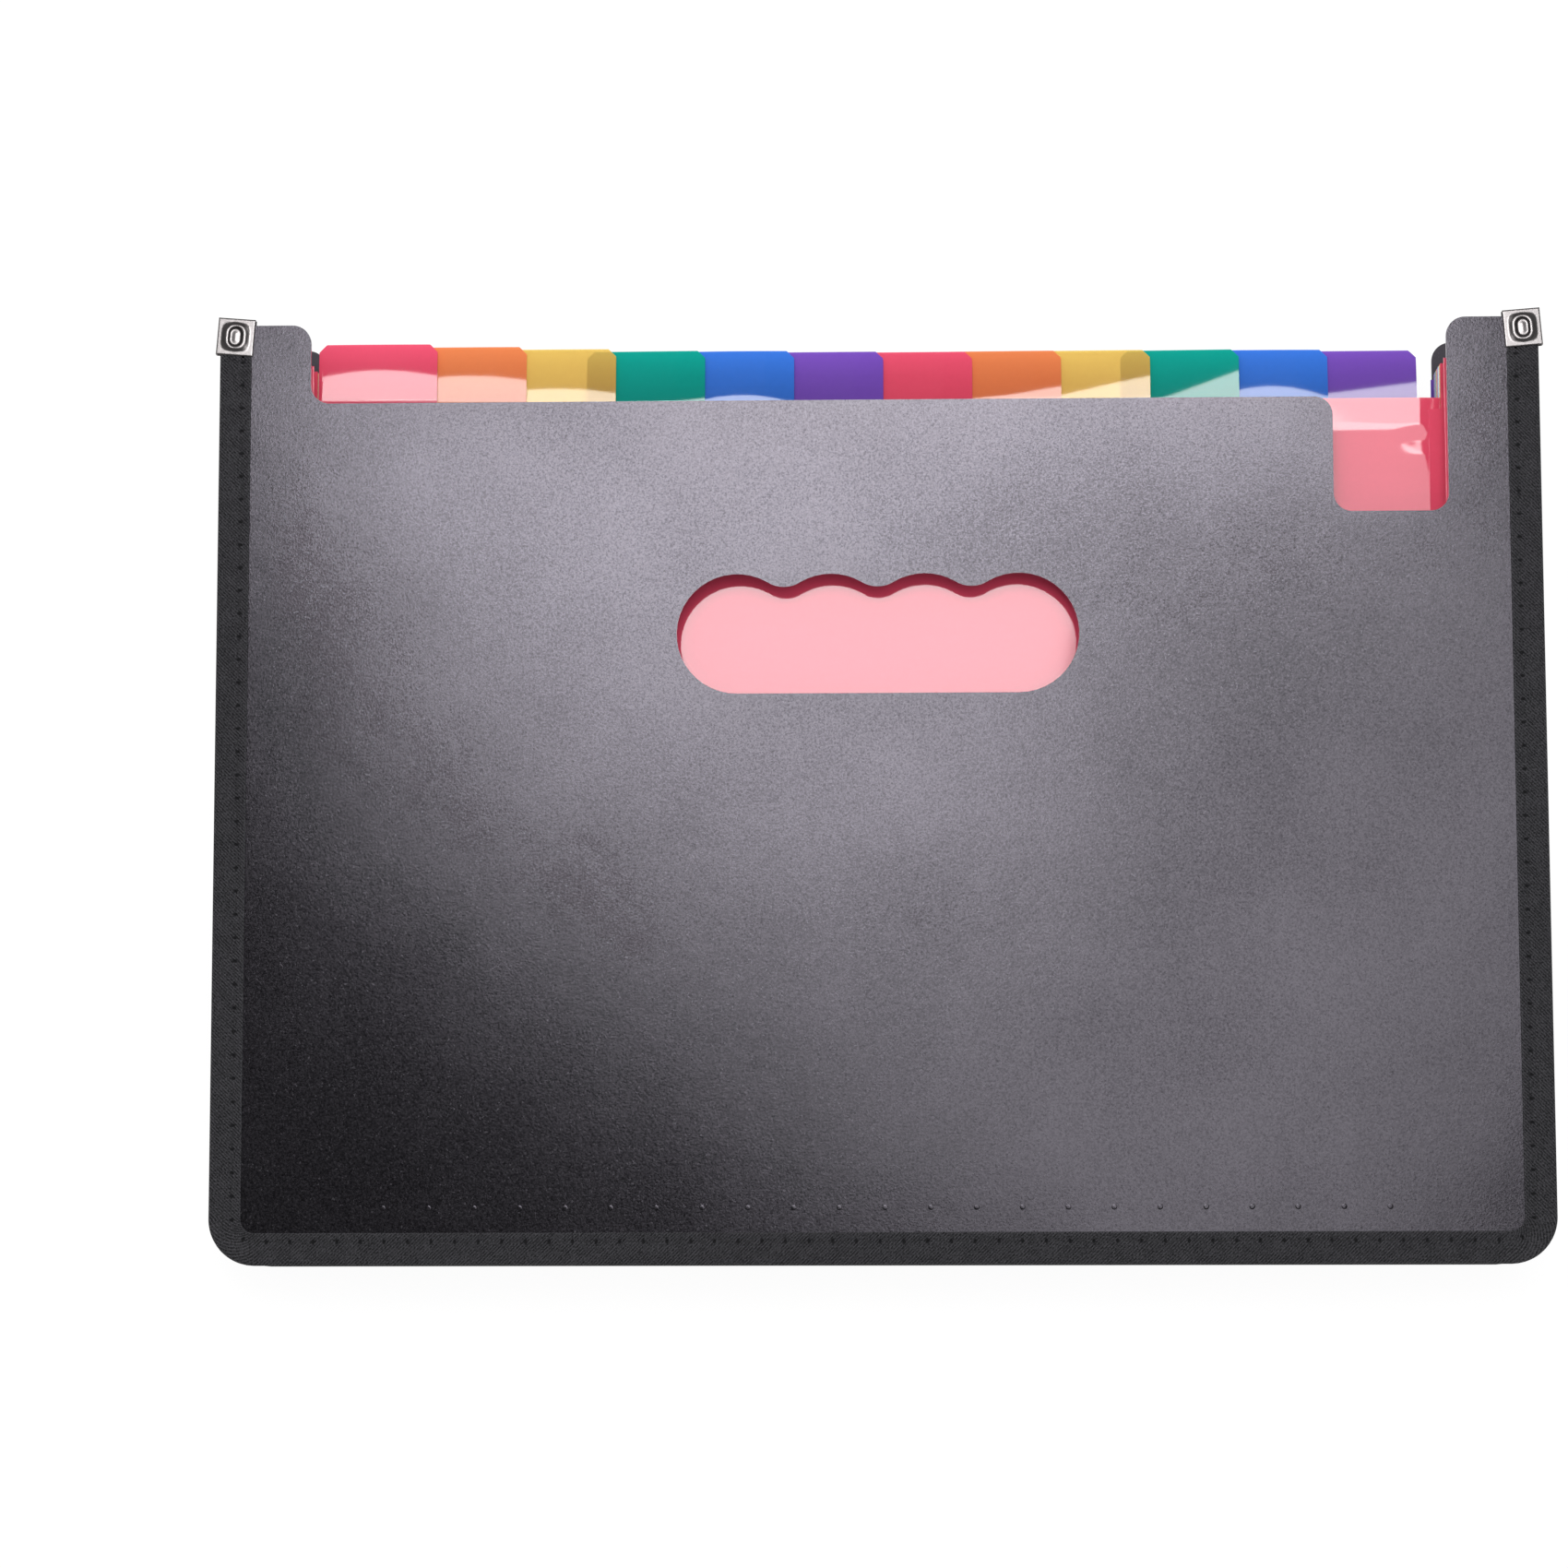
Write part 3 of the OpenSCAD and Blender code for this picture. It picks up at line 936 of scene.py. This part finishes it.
edging = edging_mesh()
stitches = stitch_mesh()
dots = weld_dot_mesh()
row_x, row_height = DOT_ROW
dots.transform(Matrix.Translation((row_x * MM, row_height * MM, -RIBBON_T * MM)))
for mesh in (edging, stitches, dots):
    mesh.polygons.foreach_set("use_smooth", [True] * len(mesh.polygons))
for side, carry in (("front", on_front()), ("back", on_back())):
    made = crisp(copied(edging, f"{side}_ribbon", carry), 60)
    hand_over(made, side, "edging", f"{side}_edging")
    made = copied(stitches, f"{side}_stitches", carry)
    hand_over(made, side, "thread", f"{side}_seam_thread")
    made = copied(dots, f"{side}_weld_dots", carry)
    hand_over(made, side, "cover")


# ----------------------------------------------------------
# Clips: sheet metal folded round the ribbon's end, with an oval eye stamped in it
# ----------------------------------------------------------
def stamped_height(x, y, raised):
    """Height of a clip's outer face over its flat, x and y from the plate's middle."""
    half = CLIP / 2
    edge = min(half - abs(x), half - abs(y))
    roll = -0.16 * (1 - smooth(edge / 0.3)) ** 2
    eye = math.hypot(x, max(abs(y) - 0.75, 0.0))
    if not raised:
        return roll - 0.2 * smooth((eye - 1.2) / 0.3) * (1 - smooth((eye - 2.1) / 0.3))
    square = (x**4 + (abs(y) * 0.97) ** 4) ** 0.25
    rise = 0.3 * (1 - smooth((square - 2.7) / 1.0))
    crest = 0.25 * (1 - smooth((eye - 2.3) / 0.8))
    well = -0.48 * (1 - smooth((eye - 1.15) / 0.9))
    dome = 0.1 * (1 - smooth(eye / 1.0))
    return roll + rise + crest + well + dome


def clip_parts(raised):
    """The right clip in a cover's drawing: points, faces and the painted shade of each
    point.
    """
    count, turns = 60, 5
    spots = [i / count for i in range(count + 1)]
    bend = 0.35
    thick = PACK_T - 2 * CLIP_SINK
    plate = CLIP - bend
    outer = [(-CLIP + CLIP_T + plate * t, 0.0, t) for t in spots]
    outer += [
        (CLIP_T - bend + bend * math.sin(a), -bend + bend * math.cos(a), None)
        for a in (math.pi / 2 * i / turns for i in range(1, turns + 1))
    ]
    outer += [(CLIP_T, -thick * t, None) for t in (0.35, 0.5, 0.65)]
    outer += [(x, -thick - z, None) for x, z, _ in reversed(outer[: len(spots) + turns])]
    section = []
    for index, (x, z, t) in enumerate(outer):
        before = outer[max(index - 1, 0)]
        after = outer[min(index + 1, len(outer) - 1)]
        run, fall = after[0] - before[0], after[1] - before[1]
        size = math.hypot(run, fall)
        section.append((x, z, x + fall / size * CLIP_T, z - run / size * CLIP_T, t))
    skin, lining, painted_shade_mask = [], [], []
    for v in spots:
        y = -CLIP + CLIP * v
        for x, z, x_in, z_in, t in section:
            lift = slope = 0.0
            if t is not None:
                px, py = x - CLIP_T + CLIP / 2, y + CLIP / 2
                lift = stamped_height(px, py, raised)
                d = 0.02
                slope = math.hypot(
                    stamped_height(px + d, py, raised) - stamped_height(px - d, py, raised),
                    stamped_height(px, py + d, raised) - stamped_height(px, py - d, raised),
                ) / (2 * d)
            skin.append((x, y, z - CLIP_SINK + lift))
            lining.append((x_in, y, z_in - CLIP_SINK + max(lift, 0.0) * 0.9))
            # Painted shade: dark on the steep walls of the stamping, less towards the
            # plate's lower end, and full on the lining that faces the ribbon
            foot = 1 - 0.75 * smooth((-py - 2.0) / 1.0) if t is not None else 1.0
            painted_shade_mask.append(0.85 * foot * smooth((slope - 0.25) / 0.55))
    columns = len(section)
    points, faces = shell(skin, lining, grid(columns, len(spots)))
    return points, faces, painted_shade_mask + [1.0] * len(lining)


def clip_mesh(name, raised):
    """The right clip, leaning on its ear."""
    points, faces, painted_shade_mask = clip_parts(raised)
    made = piece(name, [Vector(p) * MM for p in points], faces, nickel)
    mesh = made.data
    mesh.attributes.new("painted_shade_mask", "FLOAT", "POINT").data.foreach_set("value", painted_shade_mask)
    crisp(made, 50)
    bpy.data.objects.remove(made)
    lean = Matrix.Rotation(math.radians(CLIP_LEAN), 4, "Z")
    mesh.transform(Matrix.Translation((HALF_W * MM, CLIP_TOP * MM, 0)) @ lean)
    return mesh


raised_clip = clip_mesh("raised_clip", True)
flat_clip = clip_mesh("flat_clip", False)
for name, body, mesh, carry, mirrored in (
    ("front_clip_right", "front", raised_clip, on_front(), False),
    ("front_clip_left", "front", raised_clip, on_front(), True),
    ("back_clip_right", "back", flat_clip, on_back(), True),
    ("back_clip_left", "back", flat_clip, on_back(), False),
):
    made = copied(mesh, f"{name}_metal", carry, mirrored)
    hand_over(made, body, "clip", name)


# ----------------------------------------------------------
# Dividers: one film sheet each, with a tab folded over into a label sleeve
# ----------------------------------------------------------
# How a tab hangs from its sheet: its fall per mm at the foot, how much steeper it falls at
# both sides, how much steeper at its right side than in the middle, the height of its top.
# Every tab falls steeper by the bend for each mm further up.
TAB_BEND = 0.006
TAB_STANCE = [
    (0.002, 0.012, 0.0, 232.3),
    (0.011, 0.010, 0.0, 231.7),
    (0.033, 0.008, 0.0, 231.25),
    (0.075, 0.0, -0.021, 230.9),
    (0.044, 0.035, -0.006, 230.9),
    (0.079, 0.0, 0.0, 230.8),
    (0.079, 0.0, -0.005, 230.8),
    (0.047, 0.0, -0.016, 231.0),
    (0.035, 0.0, -0.021, 231.2),
    (0.043, 0.0, -0.038, 231.4),
    (0.034, 0.021, 0.0, 231.5),
    (0.041, 0.0, -0.010, 231.3),
]


def sag(x, height):
    """Slow billow that all sheets of the stack share, none at their creases."""
    across = max(0.0, 1 - (x / CREASE_X) ** 2)
    up = smooth((height - CREASE_H) / 60)
    return up * across * (0.25 * math.sin(x / 38 + 0.6) + 0.2 * math.sin(height / 29 + 1.1))


def thumb_mark(x, height):
    """What a thumb has pressed into the first sheet where the notch bares it: a crease
    along its top, and a dent under the crease."""
    foot, crest = 186, 209
    across = smooth((x - 85) / 28) * (1 - smooth((x - 137) / 3.5))
    rise = 0.00055 * max(0, min(height, crest) - foot) ** 2
    fall = 0.01 * max(0, height - crest)
    dent = 0.12 * smooth((x - 129) / 8) * smooth(1 - abs(height - 206) / 3.5)
    return (rise - fall - dent) * across


def tab_span(left, below_top):
    """Left and right side of a tab at a distance below its top."""
    cut = max(0.0, TAB_CUT - below_top)
    return left + cut, left + TAB_W - cut


def spaced(low, high):
    """Places from low to high, about a sheet step apart."""
    return list(np.linspace(low, high, 1 + max(1, round((high - low) / SHEET_STEP))))


def divider(k):
    """Divider k, 1 at the front: its sheet with the tab, and the sleeve on the tab."""
    hue = HUES[(k - 1) % len(HUES)]
    left = TAB_ROOM - CREASE_X + (k - 1) * TAB_STEP
    top = sheet_z(k)
    fall, arch, twist, tab_top = TAB_STANCE[k - 1]
    middle = left + TAB_W / 2

    def stance(x, height):
        up = max(0.0, height - SHEET_TOP)
        aside = (x - middle) / (TAB_W / 2)
        drop = (fall + arch * aside**2 + twist * aside) * up + TAB_BEND / 2 * up * up
        mark = thumb_mark(x, height) if k == 1 else 0.0
        return sag(x, height) - drop + mark

    shares = [0, 0.03, 0.07, *[0.07 + 0.86 * i / 12 for i in range(1, 12)], 0.93, 0.97, 1]
    tab_xs = [left + TAB_W * s for s in shares]
    outer_left = spaced(-CREASE_X, left)[:-1]
    outer_right = spaced(left + TAB_W, CREASE_X)[1:]
    if k == 1:
        outer_right = [x for x in outer_right if x < MARK_FROM]
        outer_right += [*range(MARK_FROM, int(CREASE_X)), CREASE_X]
    xs = [*outer_left, *tab_xs, *outer_right]
    heights = [
        *np.linspace(CREASE_H, NOTCH_FOOT, 23),
        *np.linspace(NOTCH_FOOT + 2, SHEET_TOP, 22),
    ]
    columns = len(xs)
    flat = [(x, h) for h in heights for x in xs]
    quads = grid(columns, len(heights))
    reach = (tab_top - SHEET_TOP) / (TAB_TOP - SHEET_TOP)
    tab_heights = [
        SHEET_TOP + d * reach
        for d in (0.5, 1.3, 2.2, 4, 6, 8, 10, 11.5, 12.5, 13, 14, 14.6, 14.9)
    ]
    first = (len(heights) - 1) * columns + len(outer_left)
    last_row = [first + i for i in range(len(shares))]
    for h in tab_heights:
        low, high = tab_span(left, tab_top - h)
        row = []
        for s in shares:
            row.append(len(flat))
            flat.append((low + (high - low) * s, h))
        for i in range(len(shares) - 1):
            quads.append([last_row[i], last_row[i + 1], row[i + 1], row[i]])
        last_row = row
    upper = [place(x, h, top + stance(x, h)) for x, h in flat]
    lower = [place(x, h, top - SHEET_T + stance(x, h)) for x, h in flat]
    sheet = shell(upper, lower, quads)

    # The sleeve, welded down at its foot and folded over the top of the tab: how far up a
    # plain tab, then its lower and its upper face over the sheet
    sleeve = [
        (0.05, -0.02, 0.13),
        (0.4, -0.02, 0.27),
        (0.8, 0.06, 0.34),
        *((rise, SLEEVE_GAP, SLEEVE_GAP + SLEEVE_T) for rise in (1.3, 3, 5, 7, 9, 11, 13)),
        (14.1, 0.11, SLEEVE_GAP + SLEEVE_T),
        (14.5, 0.0, 0.33),
        (14.75, -0.04, 0.28),
        (14.92, -0.25, 0.17),
        (15, -0.29, 0.0),
    ]
    upper, lower = [], []
    for rise, z_low, z_high in sleeve:
        h = SHEET_TOP + rise * reach
        low, high = tab_span(left, tab_top - h)
        for s in shares:
            x = low + (high - low) * s
            upper.append(place(x, h, top + stance(x, h) + z_high))
            lower.append(place(x, h, top + stance(x, h) + z_low))
    points, faces = joined(sheet, shell(upper, lower, grid(len(shares), len(sleeve))))
    made = crisp(piece(f"sheet_{k:02d}", points, faces, film[hue]), 55)
    hand_over(made, f"leaf_{k:02d}", f"sheet_{hue}", f"divider_{k:02d}")


for number in range(1, DIVIDERS + 1):
    divider(number)


# ----------------------------------------------------------
# Gussets: each pleat is two leaves a side, which close the pocket
# ----------------------------------------------------------
def pocket_span(k):
    """Floor and ceiling of pocket k at rest."""
    floor = PACK_T - RIBBON_T if k > DIVIDERS else sheet_z(k)
    ceiling = FOLDER_T - PACK_T + RIBBON_T if k == 1 else sheet_z(k - 1) - SHEET_T
    return floor, ceiling


def welded_z(k, upper_leaf):
    """Lower face of a leaf's strip where it is welded to its sheet or cover."""
    floor, ceiling = pocket_span(k)
    return ceiling - LEAF_T if upper_leaf else floor


def leaf_columns(k, upper_leaf):
    """Section of a leaf as [(share of its run, lower z), ...] and the same for its top."""
    ridge = FOLDER_T - PACK_T - (k - 0.5) * RIDGE_STEP
    floor, ceiling = pocket_span(k)
    steps = [0, 0.04, 0.12, 0.25, 0.4, 0.55, 0.7, 0.85, 0.96]
    lift = STRIP_LIFT * (ceiling - floor)
    root = ceiling - LEAF_T - lift if upper_leaf else floor + lift
    tip = ridge if upper_leaf else ridge - LEAF_T
    low = [(t, root + (tip - root) * (1 - (1 - min(t, 1)) ** 1.15)) for t in steps]
    high = [(t, z + LEAF_T) for t, z in low]
    far = 1 + LEAF_T / SIDE_RUN
    if upper_leaf:
        return low + [(far, ridge)], high + [(1.0, ridge + LEAF_T)]
    return low + [(1.0, ridge - LEAF_T)], high + [(far, ridge)]


def weld_strip(corners, quad=(0, 1, 2, 3)):
    """The strip of a leaf that is welded down, from the corners of its lower face."""
    upper = [place(x, h, z + LEAF_T) for x, h, z in corners]
    lower = [place(x, h, z) for x, h, z in corners]
    return shell(upper, lower, [quad])


def side_leaf(k, upper_leaf, side):
    """A leaf at the left (side -1) or the right (side 1), with its strip."""
    low, high = leaf_columns(k, upper_leaf)
    rows = [0, 0.01, 0.03, *[0.03 + 0.97 * i / 16 for i in range(1, 17)]]

    def skin(section):
        points = []
        for f in rows:
            for t, z in section:
                bottom = CREASE_H - t * FOOT_RUN
                h = bottom + (LEAF_TOP - bottom) * f
                wave = 0.10 * math.sin(h / 23 + 1.3 * side) * math.sin(math.pi * min(t, 1))
                points.append(place(side * (CREASE_X + t * SIDE_RUN), h, z + wave))
        return points

    leaf = shell(skin(high), skin(low), grid(len(low), len(rows), side > 0))
    cover_side = (k == 1 and upper_leaf) or (k > DIVIDERS and not upper_leaf)
    strip_top = NOTCH_FOOT if cover_side else WELD_TOP
    inner, outer = side * (CREASE_X - WELD_W), side * CREASE_X
    at_crease, at_weld = low[0][1], welded_z(k, upper_leaf)
    corners = [
        (inner, CREASE_H, at_weld),
        (outer, CREASE_H, at_crease),
        (outer, strip_top, at_crease),
        (inner, strip_top, at_weld),
    ]
    return joined(leaf, weld_strip(corners, (0, 1, 2, 3) if side > 0 else (3, 2, 1, 0)))


def foot_leaf(k, upper_leaf):
    """A leaf along the bottom, with its strip."""
    low, high = leaf_columns(k, upper_leaf)
    columns = 25

    def skin(section):
        points = []
        for i in range(columns):
            for t, z in section:
                x = (CREASE_X + t * SIDE_RUN) * (2 * i / (columns - 1) - 1)
                wave = 0.06 * math.sin(x / 31) * math.sin(math.pi * min(t, 1))
                points.append(place(x, CREASE_H - t * FOOT_RUN, z + wave))
        return points

    leaf = shell(skin(high), skin(low), grid(len(low), columns))
    at_crease, at_weld = low[0][1], welded_z(k, upper_leaf)
    inner = CREASE_X - WELD_W
    corners = [
        (-inner, CREASE_H, at_crease),
        (inner, CREASE_H, at_crease),
        (inner, CREASE_H + WELD_W, at_weld),
        (-inner, CREASE_H + WELD_W, at_weld),
    ]
    return joined(leaf, weld_strip(corners))


def gusset(k):
    """The pleat of pocket k, in place of its CAD gusset: each leaf runs from the sheet it
    is welded to up to the pleat's ridge.
    """
    hue = HUES[(min(k, DIVIDERS) - 1) % len(HUES)]
    height, level = 100, FOLDER_T / 2
    for layer, upper_leaf in (("lower", False), ("upper", True)):
        for part, side in (("left", -1), ("right", 1), ("foot", 0)):
            if side:
                points, faces = side_leaf(k, upper_leaf, side)
                near = Vector(place(side * CREASE_X, height, level))
                far = Vector(place(side * (CREASE_X + 2 * SIDE_RUN), height, level))
            else:
                points, faces = foot_leaf(k, upper_leaf)
                near = Vector(place(0, CREASE_H, level))
                far = Vector(place(0, CREASE_H - 2 * FOOT_RUN, level))
            name = f"pleat_{k:02d}_{layer}_{part}"
            made = crisp(piece(name, points, faces, film[hue]), 55)
            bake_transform(made)
            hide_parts(f"gusset_{k:02d}")


for number in range(1, DIVIDERS + 2):
    gusset(number)


# ----------------------------------------------------------
# Studio: white floor that keeps the shadow, pale surroundings and soft lamps overhead
# ----------------------------------------------------------
FLOOR_REACH = 3.0  # metres
FLOOR_DEPTH = 1e-4  # metres
FLOOR_WHITE = (0.86, 0.86, 0.86, 1)
FLOOR_GLOW = 1.08
GLOW_SHARE = 0.86
SKY = 0.53  # radiance of the surroundings
CEILING = 0.08  # the same for mirrored rays
WALL_TOP = (0.03, 0.22)  # where the white wall ends, as the rise of a ray
WALL_SHARE = 0.8

# Each lamp: its centre and its size in metres, its radiance, and its turn in degrees
LAMPS = {
    "long_softbox": ((-0.0155, 0.358, 1.05), (0.585, 0.212), 7.79, 2.9),
    "wide_softbox": ((0.1003, 0.1268, 1.06), (0.5555, 0.4682), 3.21, -35.5),
    "narrow_softbox": ((-0.0941, 0.1832, 1.07), (0.1545, 0.3688), 4.47, 74.5),
}


def ray_kinds(graph):
    """1 for rays straight from the camera, for mirrored rays, and for all that show a
    background, which may also come through film."""
    straight, mirrored, through = graph.node(
        "ShaderNodeLightPath",
        None,
        None,
        ("Is Camera Ray", "Is Glossy Ray", "Is Transmission Ray"),
    )
    return straight, mirrored, straight.most(mirrored).most(through)


def white_floor():
    """A matt floor under the folder that mostly glows white where it is seen."""
    material, graph = blank("white_floor")
    *_, shown = ray_kinds(graph)
    matt = graph.node("ShaderNodeBsdfDiffuse", None, {"Color": FLOOR_WHITE})
    glow = graph.node("ShaderNodeEmission", None, {"Strength": FLOOR_GLOW})
    share = shown * GLOW_SHARE
    mixed = graph.node("ShaderNodeMixShader", None, {0: share, 1: matt, 2: glow})
    graph.node("ShaderNodeOutputMaterial", None, {"Surface": mixed})
    corners = [
        (x * FLOOR_REACH, y * FLOOR_REACH, -FLOOR_DEPTH)
        for x, y in ((-1, -1), (1, -1), (1, 1), (-1, 1))
    ]
    piece("floor", corners, [[0, 1, 2, 3]], material)


def surroundings():
    """White behind the folder, pale all round, and dim overhead for what mirrors it."""
    world, graph = blank("studio", bpy.data.worlds)
    bpy.context.scene.world = world
    direction = graph.node("ShaderNodeTexCoord", None, None, "Generated")
    up = graph.node("ShaderNodeSeparateXYZ", None, {"Vector": direction}, "Z")
    straight, mirrored, shown = ray_kinds(graph)
    wall = (1 - up.step(*WALL_TOP)) * shown
    base = SKY - mirrored * (SKY - CEILING)
    strength = base + straight.most(wall * WALL_SHARE) * (1 - base)
    white = (1.0, 1.0, 1.0, 1.0)
    light = graph.node("ShaderNodeBackground", None, {"Color": white, "Strength": strength})
    graph.node("ShaderNodeOutputWorld", None, {"Surface": light})


def softbox(name, centre, size, radiance, turn):
    """A rectangular lamp overhead that faces straight down, hidden from the camera."""
    lamp = bpy.data.lights.new(name, "AREA")
    lamp.shape = "RECTANGLE"
    lamp.size, lamp.size_y = size
    lamp.energy = radiance * math.pi * size[0] * size[1]
    made = bpy.data.objects.new(name, lamp)
    made.location = centre
    made.rotation_euler = Euler((0, 0, math.radians(turn)))
    made.visible_camera = False
    bpy.context.scene.collection.objects.link(made)


white_floor()
surroundings()
for name, lamp in LAMPS.items():
    softbox(name, *lamp)

bpy.context.scene.view_settings.view_transform = "Standard"
